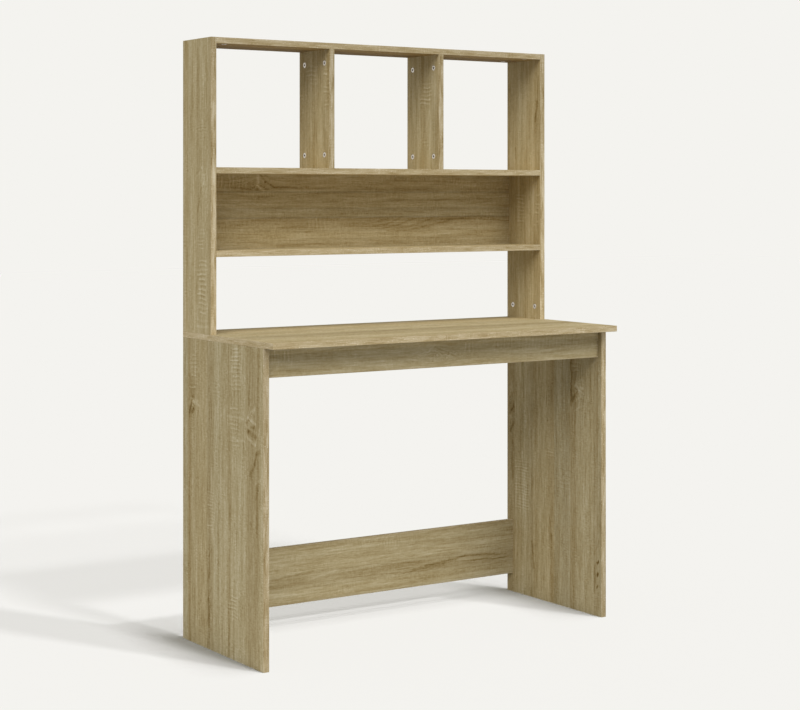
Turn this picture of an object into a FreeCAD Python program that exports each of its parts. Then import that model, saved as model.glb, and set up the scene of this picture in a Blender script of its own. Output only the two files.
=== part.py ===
import FreeCAD, Part
import os
import re
from collections import namedtuple

import Sketcher

# Student desk with a hutch: flat-pack furniture of faced 15 mm chipboard, held by cam locks and dowels.
# Lengths are millimetres. X runs along the width, Y from the front to the back, and Z up.
# The origin is on the floor, under the middle of the desktop.
#
# Each board is drawn in a frame of its own: x along its length, y along its width, both from its middle,
# and z through its thickness. Cam locks sit in its far face, z = board_thickness, beside the ends that
# they pull tight. Fasteners are drawn in the frame of the board that they sit in, from the same rows as
# its holes. Bolts, dowels and their bores, which the boards hide, are drawn with six sides.

SIZES = [
    ("desk_width", 1020, "whole width, over the outside of the legs"),
    ("desk_depth", 450, "whole depth of the desktop"),
    ("desktop_height", 760, "floor to the top of the desktop"),
    ("hutch_height", 720, "top of the desktop to the top of the hutch"),
    ("hutch_depth", 148, "depth of the hutch sides, shelves and dividers"),
    ("board_thickness", 15, "every board but the back panel"),
    ("edge_band", 1, "thickness of the strip over a raw edge"),
    ("band_arris", 0.4, "chamfer along the outer corners of a band"),
    ("front_overhang", 44, "desktop in front of the legs"),
    ("apron_height", 70, "rail under the front of the desktop"),
    ("apron_setback", 14, "front of the apron behind the front of the legs"),
    ("stretcher_height", 148, "rail between the legs, at the back"),
    ("stretcher_floor_gap", 51, "floor to the bottom of the stretcher"),
    ("stretcher_setback", 11, "stretcher in from the rear edges of the legs"),
    ("cubby_height", 300, "clear height of the three upper cubbies"),
    ("middle_height", 187.5, "clear height between the two shelves"),
    ("back_thickness", 3, "hardboard panel behind the space between the two shelves"),
    ("back_setback", 4, "back panel in from the rear edges of the hutch"),
    ("groove_depth", 5, "groove around the back panel"),
    ("cam_diameter", 15, "bore for a cam lock"),
    ("cam_below_bolt", 5, "bore for a cam lock, below the middle of the bolt"),
    ("cam_to_end", 34, "middle of a cam to the end of its board"),
    ("cam_to_edge", 25, "middle of a cam to the long edge of its board"),
    ("leg_cam_to_edge", 41, "the same on a leg, clear of the apron and of the bolts above"),
    ("bolt_channel", 8, "bore along a board, from its end to a cam"),
    ("bolt_diameter", 5, "steel bolt, and the pilot hole that it is screwed into"),
    ("bolt_grip", 11, "length of a bolt in its pilot hole"),
    ("dowel_diameter", 8, "wooden dowel"),
    ("dowel_to_edge", 20, "middle of a dowel to the long edge of its board"),
    ("leg_dowel_to_edge", 160, "the same on a leg, clear of the dowels above"),
    ("dowel_in_end", 20, "length of a dowel in the end of its board"),
    ("dowel_in_face", 10, "length of a dowel in the face of the next board"),
    ("clearance", 0.1, "between a fastener and its bore, and between the back panel and its groove"),
]

doc = FreeCAD.newDocument("StudentDesk")
sheet = doc.addObject("Spreadsheet::Sheet", "Sizes")
for row, (alias, size, meaning) in enumerate(SIZES, start=1):
    sheet.set(f"A{row}", meaning)
    sheet.set(f"B{row}", str(size))
    sheet.setAlias(f"B{row}", alias)
doc.recompute()


def bind(formula):
    """The formula with each name pointed at its cell of the sheet."""
    return re.sub(r"[a-z]\w*", lambda name: "Sizes." + name.group(), formula)


def value(formula):
    return float(sheet.evalExpression(bind(formula)))


# Places that follow from the sizes
SPAN = "(desk_width - 2 * board_thickness)"
LEG_HEIGHT = "(desktop_height - board_thickness)"
LEG_DEPTH = "(desk_depth - front_overhang)"
BAY = "((desk_width - 4 * board_thickness) / 3)"
SIDE_X = "(desk_width / 2 - board_thickness / 2)"
LEG_Y = "(front_overhang / 2)"
HUTCH_Y = "((desk_depth - hutch_depth) / 2)"
STRETCHER_Y = "(desk_depth / 2 - stretcher_setback - board_thickness)"
BACK_PANEL_Y = "(desk_depth / 2 - back_setback - back_thickness)"
TOP_Z = "(desktop_height + hutch_height)"
UPPER_SHELF_DROP = "(board_thickness + cubby_height)"
LOWER_SHELF_DROP = "(2 * board_thickness + cubby_height + middle_height)"
MIDDLE = "(board_thickness / 2)"
CAM_DEPTH = "(board_thickness / 2 + cam_below_bolt)"

NEAR_FACE = "0"
FAR_FACE = "board_thickness"
BOTH_ENDS = (1, -1)
TINY = 1e-6
X = FreeCAD.Vector(1, 0, 0)
Y = FreeCAD.Vector(0, 1, 0)
Z = FreeCAD.Vector(0, 0, 1)

Board = namedtuple("Board", "length width turn place")


def board(length, width, along, across, place):
    """A board's size and frame. along and across are the ways that its x and y point on the desk."""
    turn = FreeCAD.Rotation(along, across, along.cross(across), "XYZ")
    return Board(length, width, turn, place)


# Sketches and features, all tied to the sheet


def new_body(label, panel):
    body = doc.addObject("PartDesign::Body", label)
    body.AllowCompound = True
    body.Placement = FreeCAD.Placement(FreeCAD.Vector(), panel.turn)
    for axis, place in zip("xyz", panel.place):
        body.setExpression(f"Placement.Base.{axis}", bind(place))
    return body


def new_sketch(body, plane, level="0"):
    """A sketch on one of the body's own planes, moved along the plane's normal to the level."""
    sketch = body.newObject("Sketcher::SketchObject", f"{body.Name}_sketch")
    support = next(item for item in body.Origin.OriginFeatures if item.Role == plane)
    sketch.AttachmentSupport = [(support, "")]
    sketch.MapMode = "FlatFace"
    sketch.setExpression("AttachmentOffset.Base.z", bind(level))
    sketch.recompute()
    return sketch


def dimension(sketch, kind, formula, *points):
    number = sketch.addConstraint(Sketcher.Constraint(kind, *points, value(formula)))
    sketch.setExpression(f"Constraints[{number}]", bind(formula))


def draw_loop(sketch, corners):
    """Lines from corner to corner and back to the first."""
    sides = [
        sketch.addGeometry(Part.LineSegment(start, end))
        for start, end in zip(corners, corners[1:] + corners[:1])
    ]
    for side, following in zip(sides, sides[1:] + sides[:1]):
        sketch.addConstraint(Sketcher.Constraint("Coincident", side, 2, following, 1))
    return sides


def draw_rectangle(sketch, x_low, x_high, y_low, y_high):
    low = FreeCAD.Vector(value(x_low), value(y_low), 0)
    high = FreeCAD.Vector(value(x_high), value(y_high), 0)
    beside_low = FreeCAD.Vector(high.x, low.y, 0)
    beside_high = FreeCAD.Vector(low.x, high.y, 0)
    sides = draw_loop(sketch, [low, beside_low, high, beside_high])
    for side, way in zip(sides, ("Horizontal", "Vertical") * 2):
        sketch.addConstraint(Sketcher.Constraint(way, side))
    for side, x, y in ((sides[0], x_low, y_low), (sides[2], x_high, y_high)):
        dimension(sketch, "DistanceX", x, -1, 1, side, 1)
        dimension(sketch, "DistanceY", y, -1, 1, side, 1)


def draw_circles(sketch, centres, diameter, construction=False):
    """Circles at the centres, each a pair of formulas. Returns them in order."""
    circles = []
    for x, y in centres:
        round_centre = FreeCAD.Vector(value(x), value(y), 0)
        circle = sketch.addGeometry(Part.Circle(round_centre, Z, value(diameter) / 2), construction)
        dimension(sketch, "DistanceX", x, -1, 1, circle, 3)
        dimension(sketch, "DistanceY", y, -1, 1, circle, 3)
        dimension(sketch, "Diameter", diameter, circle)
        circles.append(circle)
    return circles


def draw_hexagons(sketch, centres, diameter):
    """Regular hexagons with their corners on circles of the diameter.

    A corner points to the back of the desk in each, so that a bar fits the bores of both its boards.
    """
    backward = sketch.getGlobalPlacement().Rotation.inverted().multVec(Y)
    spoke = backward * (value(diameter) / 2)
    way = "Horizontal" if abs(backward.x) > abs(backward.y) else "Vertical"
    for (x, y), rim in zip(centres, draw_circles(sketch, centres, diameter, construction=True)):
        middle = FreeCAD.Vector(value(x), value(y), 0)
        corners = [middle + FreeCAD.Rotation(Z, angle).multVec(spoke) for angle in range(0, 360, 60)]
        sides = draw_loop(sketch, corners)
        for side in sides:
            sketch.addConstraint(Sketcher.Constraint("PointOnObject", side, 1, rim))
        for side in sides[1:]:
            sketch.addConstraint(Sketcher.Constraint("Equal", sides[0], side))
        sketch.addConstraint(Sketcher.Constraint(way, sides[1]))


def pad(body, sketch, length, against_normal=False):
    added = body.newObject("PartDesign::Pad", f"{body.Name}_pad")
    added.Profile = sketch
    added.setExpression("Length", bind(length))
    added.Reversed = against_normal
    return added


def pocket(body, sketch, depth, along_normal=False):
    """A cut, which has to meet material."""
    doc.recompute()
    volume = body.Shape.Volume
    cut = body.newObject("PartDesign::Pocket", f"{body.Name}_pocket")
    cut.Profile = sketch
    cut.setExpression("Length", bind(depth))
    cut.Reversed = along_normal
    doc.recompute()
    if body.Shape.Volume > volume - TINY:
        raise RuntimeError(f"a cut in {body.Name} misses it")


def mirrored(left):
    """The right-hand twin of a piece on the left."""
    right = doc.addObject("Part::Mirroring", left.Name.replace("left", "right"))
    right.Source = left
    right.Normal = X
    return right


def group(label, members):
    """One node of several solids."""
    together = doc.addObject("Part::Compound", label)
    together.Links = members
    return together


# Holes and fasteners


def edge_rows(panel, inset):
    """The two rows at a distance from a board's long edges."""
    return [f"({side} * ({panel.width} / 2 - {inset}))" for side in BOTH_ENDS]


def cam_centres(panel, ends, rows):
    return [(f"{end} * ({panel.length} / 2 - cam_to_end)", row) for end in ends for row in rows]


def at_middle(rows):
    """Centres on the end of a board, halfway through its thickness."""
    return [(row, MIDDLE) for row in rows]


def for_upright(x, y, rows):
    """Centres on a side, for the end of a rail or panel that stands on its long edge."""
    return [(f"{x} + {row}", y) for row in rows]


def for_level(x, rows):
    """Centres on a side, for the end of a shelf."""
    return [(x, row) for row in rows]


def drill_face(body, centres, diameter, depth, face=FAR_FACE, draw=draw_hexagons):
    sketch = new_sketch(body, "XY_Plane", face)
    draw(sketch, centres, diameter)
    pocket(body, sketch, depth, along_normal=face == NEAR_FACE)


def drill_ends(body, panel, ends, rows, diameter, depth):
    for end in ends:
        sketch = new_sketch(body, "YZ_Plane", f"{end} * {panel.length} / 2")
        draw_hexagons(sketch, at_middle(rows), diameter)
        pocket(body, sketch, depth, along_normal=end < 0)


def drill_for_cams(body, panel, ends, rows):
    drill_face(body, cam_centres(panel, ends, rows), "cam_diameter", CAM_DEPTH, draw=draw_circles)
    drill_ends(body, panel, ends, rows, "bolt_channel", "cam_to_end")


def drill_for_dowels(body, panel, ends, rows):
    drill_ends(body, panel, ends, rows, "dowel_diameter", "dowel_in_end")


def drill_for_next(body, bolts, dowels=(), face=FAR_FACE):
    """Pilot holes and dowel holes in a board's face, for the boards that meet it there."""
    if bolts:
        drill_face(body, bolts, "bolt_diameter", "bolt_grip", face)
    if dowels:
        drill_face(body, dowels, "dowel_diameter", "dowel_in_face", face)


def cut_groove(body, x_low, x_high, face, rear=1):
    """A groove for the back panel, along a board's rear edge, which is on the rear side of y: 1 or -1."""
    outer = "(hutch_depth / 2 - back_setback + clearance)"
    inner = f"({outer} - back_thickness - 2 * clearance)"
    sketch = new_sketch(body, "XY_Plane", face)
    draw_rectangle(sketch, x_low, x_high, f"{rear} * {inner}", f"{rear} * {outer}")
    pocket(body, sketch, "groove_depth", along_normal=face == NEAR_FACE)


def build_cams(label, panel, ends, rows):
    """Cam locks flush with the board's far face. Each has a mouth in its side for the tip of a bolt."""
    body = new_body(label, panel)
    sketch = new_sketch(body, "XY_Plane", FAR_FACE)
    draw_circles(sketch, cam_centres(panel, ends, rows), "cam_diameter - 2 * clearance")
    pad(body, sketch, f"{CAM_DEPTH} - clearance", against_normal=True)
    half_mouth = "(bolt_diameter / 2 + clearance)"
    for end in ends:
        rim = f"{end} * ({panel.length} / 2 - cam_to_end + cam_diameter / 2)"
        sketch = new_sketch(body, "YZ_Plane", rim)
        for row, middle in at_middle(rows):
            sides = [f"{place} {way} {half_mouth}" for place in (row, middle) for way in "-+"]
            draw_rectangle(sketch, *sides)
        pocket(body, sketch, "(cam_diameter + bolt_diameter) / 2", along_normal=end < 0)
    return body


def build_bars(label, panel, ends, rows, diameter, outside, inside):
    """Bolts or dowels across the ends of a board, a clearance thinner and shorter than their bores."""
    body = new_body(label, panel)
    for end in ends:
        sketch = new_sketch(body, "YZ_Plane", f"{end} * ({panel.length} / 2 + {outside} - clearance)")
        draw_hexagons(sketch, at_middle(rows), f"{diameter} - 2 * clearance")
        pad(body, sketch, f"{outside} + {inside} - 2 * clearance", against_normal=end > 0)
    return body


def build_bolts(label, panel, ends, rows):
    """Bolts from their pilot holes in the next board to the middle of the cams."""
    return build_bars(label, panel, ends, rows, "bolt_diameter", "bolt_grip", "cam_to_end")


def build_dowels(label, panel, ends, rows):
    return build_bars(label, panel, ends, rows, "dowel_diameter", "dowel_in_face", "dowel_in_end")


# Boards with their edge bands


def build_board(label, panel, long_edges="", short_edges="", thickness="board_thickness"):
    """A board and, as a list, its edge bands. Edges are named by their side of the board's frame: - or +.

    The chipboard stops short of each band. Bands on the short edges fit between those on the long ones.
    """
    x_low, x_high = f"-{panel.length} / 2", f"{panel.length} / 2"
    y_low, y_high = f"-{panel.width} / 2", f"{panel.width} / 2"
    long_bands, short_bands = [], []
    if "-" in long_edges:
        long_bands.append((x_low, x_high, y_low, f"{y_low} + edge_band"))
        y_low += " + edge_band"
    if "+" in long_edges:
        long_bands.append((x_low, x_high, f"{y_high} - edge_band", y_high))
        y_high += " - edge_band"
    if "-" in short_edges:
        short_bands.append((x_low, f"{x_low} + edge_band", y_low, y_high))
        x_low += " + edge_band"
    if "+" in short_edges:
        short_bands.append((f"{x_high} - edge_band", x_high, y_low, y_high))
        x_high += " - edge_band"
    body = new_body(label, panel)
    sketch = new_sketch(body, "XY_Plane")
    draw_rectangle(sketch, x_low, x_high, y_low, y_high)
    pad(body, sketch, thickness)
    strip_sets = [strips for strips in (long_bands, short_bands) if strips]
    return body, [build_bands(f"{label}_strips", panel, strips) for strips in strip_sets]


def build_bands(label, panel, strips):
    body = new_body(label, panel)
    sketch = new_sketch(body, "XY_Plane")
    for strip in strips:
        draw_rectangle(sketch, *strip)
    bands = pad(body, sketch, "board_thickness")
    doc.recompute()
    chamfer = body.newObject("PartDesign::Chamfer", f"{body.Name}_arris")
    chamfer.Base = (bands, outer_arrises(bands.Shape, panel))
    chamfer.setExpression("Size", bind("band_arris"))
    return body


def outer_arrises(shape, panel):
    """Names of the long corners of the bands that a hand meets, around both faces of the board."""
    names = []
    for number, edge in enumerate(shape.Edges, start=1):
        middle = edge.CenterOfMass
        out = max(abs(middle.x) - value(panel.length) / 2, abs(middle.y) - value(panel.width) / 2)
        off_face = abs(abs(middle.z - value(MIDDLE)) - value(MIDDLE))
        if out > -TINY and off_face < TINY and edge.Length > 2 * value("edge_band"):
            names.append(f"Edge{number}")
    return names


# The boards

desktop = board("desk_width", "desk_depth", X, Y, ("0", "0", LEG_HEIGHT))
leg = board(LEG_HEIGHT, LEG_DEPTH, Z, -Y, ("-desk_width / 2", LEG_Y, f"{LEG_HEIGHT} / 2"))
apron_y = "-desk_depth / 2 + front_overhang + apron_setback"
apron = board(SPAN, "apron_height", -X, Z, ("0", apron_y, f"{LEG_HEIGHT} - apron_height / 2"))
stretcher_z = "stretcher_floor_gap + stretcher_height / 2"
stretcher = board(SPAN, "stretcher_height", -X, Z, ("0", STRETCHER_Y, stretcher_z))
side_place = ("-desk_width / 2", HUTCH_Y, "desktop_height + hutch_height / 2")
hutch_side = board("hutch_height", "hutch_depth", -Z, Y, side_place)
hutch_top = board(SPAN, "hutch_depth", X, -Y, ("0", HUTCH_Y, TOP_Z))
upper_shelf_z = f"{TOP_Z} - {UPPER_SHELF_DROP} - board_thickness"
upper_shelf = board(SPAN, "hutch_depth", X, Y, ("0", HUTCH_Y, upper_shelf_z))
lower_shelf = board(SPAN, "hutch_depth", X, -Y, ("0", HUTCH_Y, f"{TOP_Z} - {LOWER_SHELF_DROP}"))
back_panel_z = f"{TOP_Z} - {LOWER_SHELF_DROP} + middle_height / 2"
in_grooves = "2 * (groove_depth - clearance)"
back_panel_size = f"({SPAN} + {in_grooves})", f"(middle_height + {in_grooves})"
back_panel = board(*back_panel_size, -X, Z, ("0", BACK_PANEL_Y, back_panel_z))
divider_z = f"{TOP_Z} - board_thickness - cubby_height / 2"
divider_x = [f"(-desk_width / 2 + {count} * (board_thickness + {BAY}) + {MIDDLE})" for count in (1, 2)]
left_divider, right_divider = (
    board("cubby_height", "hutch_depth", Z, Y, (f"{x} + {MIDDLE}", HUTCH_Y, divider_z)) for x in divider_x
)

# Rows of fasteners across the boards

centre_row = ["0"]
hutch_rows = edge_rows(hutch_top, "cam_to_edge")
leg_rows = edge_rows(leg, "leg_cam_to_edge")
leg_dowel_rows = edge_rows(leg, "leg_dowel_to_edge")
apron_dowel_rows = edge_rows(apron, "dowel_to_edge")
stretcher_dowel_rows = edge_rows(stretcher, "dowel_to_edge")
shelf_dowel_rows = edge_rows(lower_shelf, "dowel_to_edge")

pieces = []


def keep(name, body, bands=()):
    """Adds a board and its bands to the pieces of the desk."""
    pieces.append(body)
    if bands:
        pieces.append(group(f"{name}_edge_bands", bands))


def keep_pair(name, body, bands):
    """The same for a board on the left and its twin on the right."""
    keep(f"left_{name}", body, bands)
    keep(f"right_{name}", mirrored(body), [mirrored(strips) for strips in bands])


# Desktop: the hutch is screwed into it from above and the legs from below

body, bands = build_board("desktop", desktop, "-+", "-+")
for rows, dowel_rows, y, face in (
    (hutch_rows, centre_row, HUTCH_Y, FAR_FACE),
    (leg_rows, leg_dowel_rows, LEG_Y, NEAR_FACE),
):
    bolts = [(f"{end} * {SIDE_X}", f"{y} + {row}") for end in BOTH_ENDS for row in rows]
    dowels = [(f"{end} * {SIDE_X}", f"{y} + {row}") for end in BOTH_ENDS for row in dowel_rows]
    drill_for_next(body, bolts, dowels, face)
keep("desktop", body, bands)

# Legs: pulled up to the desktop, with the apron and the stretcher between them

body, bands = build_board("left_leg_panel", leg, "-+")
drill_for_cams(body, leg, [1], leg_rows)
drill_for_dowels(body, leg, [1], leg_dowel_rows)
apron_at = f"({leg.length} - apron_height) / 2", f"{leg.width} / 2 - apron_setback - {MIDDLE}"
stretcher_at = f"-{leg.length} / 2 + {stretcher_z}", f"-{leg.width} / 2 + stretcher_setback + {MIDDLE}"
bolts = for_upright(*stretcher_at, centre_row)
dowels = for_upright(*stretcher_at, stretcher_dowel_rows) + for_upright(*apron_at, apron_dowel_rows)
drill_for_next(body, bolts, dowels)
keep_pair("leg_panel", body, bands)

# Rails between the legs

body, bands = build_board("front_apron", apron, "-")
drill_for_dowels(body, apron, BOTH_ENDS, apron_dowel_rows)
keep("front_apron", body, bands)

body, bands = build_board("rear_stretcher", stretcher, "-+")
drill_for_cams(body, stretcher, BOTH_ENDS, centre_row)
drill_for_dowels(body, stretcher, BOTH_ENDS, stretcher_dowel_rows)
keep("rear_stretcher", body, bands)

# Hutch sides: pulled down to the desktop, with the top and the shelves between them and a groove for the
# back panel, which stops at the shelves

body, bands = build_board("left_hutch_side", hutch_side, "-+", "-")
drill_for_cams(body, hutch_side, [1], hutch_rows)
drill_for_dowels(body, hutch_side, [1], centre_row)
side_top = f"-{hutch_side.length} / 2"
top_x = f"{side_top} + {MIDDLE}"
upper_x = f"{side_top} + {UPPER_SHELF_DROP} + {MIDDLE}"
lower_x = f"{side_top} + {LOWER_SHELF_DROP} + {MIDDLE}"
bolts = for_level(top_x, hutch_rows) + for_level(upper_x, hutch_rows)
drill_for_next(body, bolts, for_level(lower_x, shelf_dowel_rows))
groove_top = f"{upper_x} + {MIDDLE} - groove_depth"
groove_bottom = f"{lower_x} - {MIDDLE} + groove_depth"
cut_groove(body, groove_top, groove_bottom, FAR_FACE)
keep_pair("hutch_side", body, bands)

# Hutch top and upper shelf: the same board, face to face across the cubbies that the dividers part. Only
# the shelf has a groove, in its lower face.

span_ends = f"-{SPAN} / 2", f"{SPAN} / 2"
divider_bolts = [centre for x in divider_x for centre in for_level(x, hutch_rows)]
for name, panel in (("hutch_top", hutch_top), ("upper_shelf", upper_shelf)):
    body, bands = build_board(name, panel, "-+")
    drill_for_cams(body, panel, BOTH_ENDS, hutch_rows)
    drill_for_next(body, divider_bolts)
    if panel is upper_shelf:
        cut_groove(body, *span_ends, NEAR_FACE)
    keep(name, body, bands)

for name, panel in (("left_divider", left_divider), ("right_divider", right_divider)):
    body, bands = build_board(name, panel, "-+")
    drill_for_cams(body, panel, BOTH_ENDS, hutch_rows)
    keep(name, body, bands)

# Lower shelf, held by dowels between the hutch sides, and the back panel in its grooves

body, bands = build_board("lower_shelf", lower_shelf, "-+")
drill_for_dowels(body, lower_shelf, BOTH_ENDS, shelf_dowel_rows)
cut_groove(body, *span_ends, NEAR_FACE, rear=-1)
keep("lower_shelf", body, bands)

body, bands = build_board("hutch_back_panel", back_panel, thickness="back_thickness")
keep("hutch_back_panel", body)

# Fasteners, one node for all of a kind in a board

for name, panel, cam_rows, dowel_rows in (
    ("stretcher", stretcher, centre_row, stretcher_dowel_rows),
    ("hutch_top", hutch_top, hutch_rows, []),
    ("upper_shelf", upper_shelf, hutch_rows, []),
    ("left_divider", left_divider, hutch_rows, []),
    ("right_divider", right_divider, hutch_rows, []),
    ("apron", apron, [], apron_dowel_rows),
    ("lower_shelf", lower_shelf, [], shelf_dowel_rows),
):
    if cam_rows:
        pieces.append(build_cams(f"{name}_cams", panel, BOTH_ENDS, cam_rows))
        pieces.append(build_bolts(f"{name}_cam_bolts", panel, BOTH_ENDS, cam_rows))
    if dowel_rows:
        pieces.append(build_dowels(f"{name}_dowels", panel, BOTH_ENDS, dowel_rows))

for name, panel, cam_rows, dowel_rows in (
    ("leg", leg, leg_rows, leg_dowel_rows),
    ("hutch_side", hutch_side, hutch_rows, centre_row),
):
    for kind, build, rows in (
        ("cams", build_cams, cam_rows),
        ("cam_bolts", build_bolts, cam_rows),
        ("dowels", build_dowels, dowel_rows),
    ):
        left = build(f"left_{name}_{kind}", panel, [1], rows)
        pieces.append(group(f"{name}_{kind}", [left, mirrored(left)]))

# Check every object, then write each piece

doc.recompute()
for item in doc.Objects:
    if "Invalid" in item.State or "Error" in item.State:
        raise RuntimeError(f"{item.Label} failed: {item.State}")
for piece in pieces:
    if piece.Shape.isNull() or not piece.Shape.isValid():
        raise RuntimeError(f"{piece.Label} has no valid shape")

os.makedirs("parts", exist_ok=True)
for piece in pieces:
    piece.Shape.exportStep(f"parts/{piece.Label}.step")
    print(f"{piece.Label}: {len(piece.Shape.Solids)} solids, {piece.Shape.Volume / 1000:.1f} cm3")
print(len(pieces), "pieces")
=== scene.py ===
import math
from collections import namedtuple

import bmesh
import bpy
from mathutils import Matrix, Vector


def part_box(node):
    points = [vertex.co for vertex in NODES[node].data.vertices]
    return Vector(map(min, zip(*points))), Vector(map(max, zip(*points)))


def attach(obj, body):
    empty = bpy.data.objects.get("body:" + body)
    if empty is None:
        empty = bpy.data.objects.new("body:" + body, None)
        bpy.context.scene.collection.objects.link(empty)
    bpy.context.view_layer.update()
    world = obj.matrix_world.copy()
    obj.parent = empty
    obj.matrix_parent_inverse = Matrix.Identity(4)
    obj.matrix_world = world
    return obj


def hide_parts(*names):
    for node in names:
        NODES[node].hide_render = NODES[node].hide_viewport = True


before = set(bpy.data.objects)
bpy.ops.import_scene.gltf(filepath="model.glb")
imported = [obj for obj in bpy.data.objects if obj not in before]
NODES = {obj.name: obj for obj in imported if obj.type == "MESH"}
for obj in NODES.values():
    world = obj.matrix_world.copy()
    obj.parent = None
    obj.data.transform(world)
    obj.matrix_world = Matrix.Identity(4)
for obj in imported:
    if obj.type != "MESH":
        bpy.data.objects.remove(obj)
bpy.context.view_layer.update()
MM = 0.001

# ---------------------------------------------------------------- nodes written as arithmetic


class Value:
    """A number that varies over a surface. Arithmetic on it adds math nodes to its tree."""

    def __init__(self, socket):
        self.socket = socket

    def op(self, operation, *others, clamp=False):
        node = self.socket.id_data.nodes.new("ShaderNodeMath")
        node.operation = operation
        node.use_clamp = clamp
        for target, value in zip(node.inputs, (self,) + others):
            plug(target, value)
        return Value(node.outputs[0])

    def __add__(self, other):
        return self.op("ADD", other)

    __radd__ = __add__

    def __sub__(self, other):
        return self.op("SUBTRACT", other)

    def __mul__(self, other):
        return self.op("MULTIPLY", other)

    def __truediv__(self, other):
        return self.op("DIVIDE", other)

    def __pow__(self, other):
        return self.op("POWER", other)

    def __neg__(self):
        return self * -1.0

    def __abs__(self):
        return self.op("ABSOLUTE")

    def floor(self):
        return self.op("FLOOR")

    def fraction(self):
        return self.op("FRACT")

    def clamp(self):
        return self.op("ADD", 0.0, clamp=True)

    def at_least(self, other):
        return self.op("MAXIMUM", other)

    def at_most(self, other):
        return self.op("MINIMUM", other)

    def root(self):
        return self.op("SQRT")


def plug(target, value):
    """Sets an input socket to a number or links it to a Value."""
    if isinstance(value, Value):
        target.id_data.links.new(value.socket, target)
    else:
        target.default_value = value


def vector(x, y, z):
    tree = next(v for v in (x, y, z) if isinstance(v, Value)).socket.id_data
    node = tree.nodes.new("ShaderNodeCombineXYZ")
    for target, value in zip(node.inputs, (x, y, z)):
        plug(target, value)
    return Value(node.outputs[0])


def noise(x, y, z, detail=2.0, roughness=0.5):
    """Smooth noise of the point given, from about -1 to 1. Each place in it is divided by the size of a
    feature that way, and where z is a plain number it only picks another pattern."""
    point = vector(x, y, z)
    node = point.socket.id_data.nodes.new("ShaderNodeTexNoise")
    node.noise_dimensions = "3D"
    plug(node.inputs["Vector"], point)
    node.inputs["Scale"].default_value = 1.0
    node.inputs["Detail"].default_value = detail
    node.inputs["Roughness"].default_value = roughness
    return (Value(node.outputs[0]) - 0.5) * 3.0


def random(x):
    """One random number from 0 to 1 for each whole number x."""
    node = x.socket.id_data.nodes.new("ShaderNodeTexWhiteNoise")
    node.noise_dimensions = "1D"
    plug(node.inputs["W"], x)
    return Value(node.outputs["Value"])


def ease(value, low, high):
    """0 below low, 1 above high, and an even change between them."""
    node = value.socket.id_data.nodes.new("ShaderNodeMapRange")
    node.interpolation_type = "SMOOTHSTEP"
    for target, number in zip(node.inputs, (value, low, high, 0.0, 1.0)):
        plug(target, number)
    return Value(node.outputs[0])


def fade(value, low, high):
    """1 below low, 0 above high, and an even change between them."""
    return ease(-value, -high, -low)


def color(red, green, blue):
    node = red.socket.id_data.nodes.new("ShaderNodeCombineColor")
    for target, value in zip(node.inputs, (red, green, blue)):
        plug(target, value)
    return Value(node.outputs[0])


def group(name, inputs, outputs, build):
    """A node group whose inputs are all numbers; build gives its outputs from its inputs."""
    tree = bpy.data.node_groups.new(name, "ShaderNodeTree")
    for label in inputs:
        tree.interface.new_socket(label, in_out="INPUT", socket_type="NodeSocketFloat")
    for label in outputs:
        tree.interface.new_socket(label, in_out="OUTPUT", socket_type="NodeSocketFloat")
    source = tree.nodes.new("NodeGroupInput")
    sink = tree.nodes.new("NodeGroupOutput")
    results = build(*[Value(source.outputs[label]) for label in inputs])
    for label, result in zip(outputs, results):
        plug(sink.inputs[label], result)

    def use(material_tree, *values):
        node = material_tree.nodes.new("ShaderNodeGroup")
        node.node_tree = tree
        for target, value in zip(node.inputs, values):
            plug(target, value)
        return [Value(socket) for socket in node.outputs]
    return use


# ---------------------------------------------------------------- what the oak print is drawn from
# Along is with the grain, across is over the board's face and depth is through it, all in millimetres.


def build_streak(along, across, along_0, across_0, along_1, across_1, width):
    """1 on an uneven line from one point to another, fading to 0 at width from it, and further off at its
    ends."""
    end_share = 0.6  # a distance along the grain counts for this much of one across it
    bend = noise(along / 38.0, across / 30.0, 7.0) * 3.0
    ripple = noise(along / 9.0, across / 9.0, 11.0) * 1.6
    across = across + bend + ripple
    run_along = along_1 - along_0
    run_across = across_1 - across_0
    reach = (along - along_0) * run_along + (across - across_0) * run_across
    share = (reach / (run_along * run_along + run_across * run_across)).clamp()
    off_along = (along - along_0 - share * run_along) * end_share
    off_across = across - across_0 - share * run_across
    distance = (off_along * off_along + off_across * off_across).root()
    return [fade(distance / width, 0.1, 1.0)]


def build_saw_marks(along, across, along_0, along_1, across_0, across_1, pitch):
    """Short marks across the grain, one for each pitch, inside a patch with soft and ragged edges."""
    soft_along, soft_across = 12.0, 8.0
    ragged_low, ragged_high = 18.0, 22.0  # over how much each end of the marks varies
    light_at, dark_at = 0.5, 0.12  # where in each pitch the light line and the dark one beside it are
    faintest, range_of_strength = 0.35, 0.9
    bend = noise(along / 55.0, across / 48.0, 3.0) * 0.45
    shake = noise(along / 9.0, across / 9.0, 5.0) * 0.10
    count = along / pitch + (bend + shake)
    each = random(count.floor())
    inside = count.fraction()
    light_line = fade(abs(inside - light_at), 0.06, 0.30)
    dark_line = fade(abs(inside - dark_at), 0.04, 0.22)
    pulse = light_line - dark_line * 0.55
    edge_low = across_0 + (each - 0.5) * ragged_low
    edge_high = across_1 - (random(count.floor() + 0.5) - 0.5) * ragged_high
    patch = (ease(along, along_0, along_0 + soft_along)
             * fade(along, along_1 - soft_along, along_1)
             * ease(across, edge_low, edge_low + soft_across)
             * fade(across, edge_high - soft_across, edge_high))
    return [pulse * patch * (each * range_of_strength + faintest)]


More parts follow.
